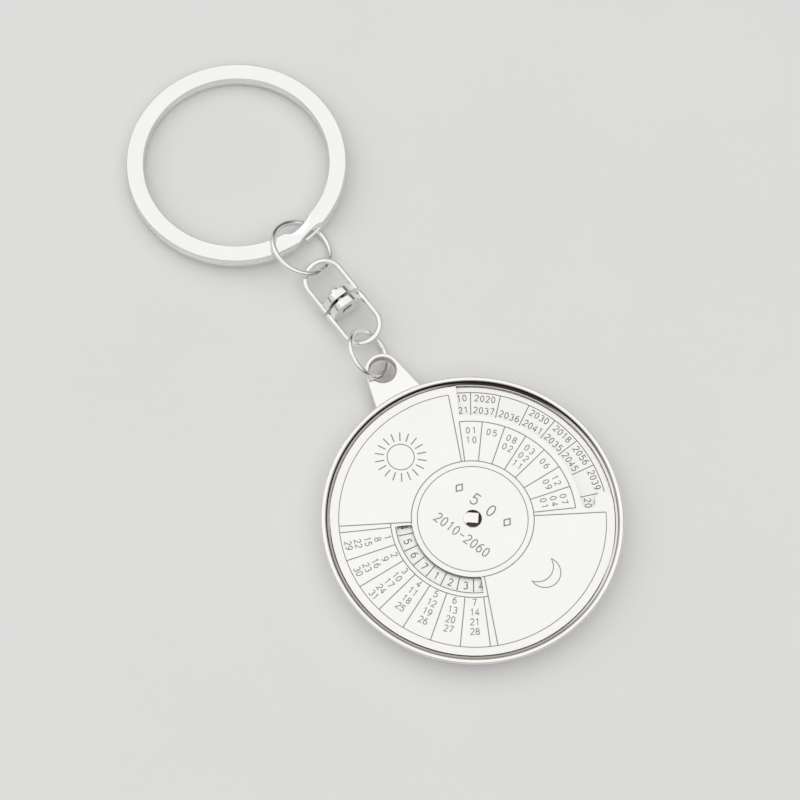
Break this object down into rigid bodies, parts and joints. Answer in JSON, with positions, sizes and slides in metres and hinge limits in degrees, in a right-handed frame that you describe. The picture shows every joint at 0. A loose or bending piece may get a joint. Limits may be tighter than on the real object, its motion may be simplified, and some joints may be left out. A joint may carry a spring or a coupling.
{
  "type": "perpetual calendar keyring",
  "caption": "Round pocket perpetual calendar: a turning printed date dial in a rimmed metal case, linked by jump rings and a swivel to a split key ring.",
  "frame": {"origin": "centre of the case's flat back", "axes": "+Z out of the date dial, +Y from the case's centre to the lug and along the chain to the key ring, +X to the right as the dial is read from the front"},
  "size_m": [0.04, 0.0954, 0.0053],
  "materials": {
    "plated_casting": "bright plated",
    "printed_sheet": "satin silver, printed",
    "printed_plate": "satin silver, printed",
    "rivet_metal": "bright plated",
    "plated_wire": "bright plated",
    "strip_steel": "polished plated steel"
  },
  "bodies": {
    "case": {"case": "plated_casting", "year_disc": "printed_sheet", "dial_rivet": "rivet_metal"},
    "date_dial": {"date_plate": "printed_plate"},
    "small_ring": {"small_jump_ring": "plated_wire"},
    "swivel_lower": {"swivel_lower_bail": "plated_wire", "swivel_rivet": "plated_wire"},
    "swivel_upper": {"swivel_upper_bail": "plated_wire"},
    "large_ring": {"large_jump_ring": "plated_wire"},
    "key_ring": {"split_key_ring": "strip_steel"}
  },
  "joints": [
    {"name": "dial_spin", "type": "hinge", "parent": "case", "child": "date_dial", "pos_m": [0, 0, 0.0028], "axis": [0, 0, 1], "continuous": true},
    {"name": "small_ring_swing", "type": "hinge", "parent": "case", "child": "small_ring", "pos_m": [0, 0.02427, 0.00175], "axis": [0, 0, 1], "range_deg": [-60, 60]},
    {"name": "lower_bail_swing", "type": "hinge", "parent": "small_ring", "child": "swivel_lower", "pos_m": [0.00094, 0.0288, 0.00227], "axis": [0.9731, 0.1368, 0.1857], "range_deg": [-90, 35]},
    {"name": "swivel_spin", "type": "hinge", "parent": "swivel_lower", "child": "swivel_upper", "pos_m": [0.00001, 0.0354, 0.00227], "axis": [-0.1392, 0.9903, 0], "continuous": true},
    {"name": "large_ring_swing", "type": "hinge", "parent": "swivel_upper", "child": "large_ring", "pos_m": [-0.00085, 0.04077, 0.00225], "axis": [0.8997, 0.0346, -0.4352], "range_deg": [-75, 30]},
    {"name": "key_ring_swing", "type": "hinge", "parent": "large_ring", "child": "key_ring", "pos_m": [-0.00268, 0.0466, 0.00167], "axis": [1, 0, 0], "range_deg": [-8, 60]}
  ]
}
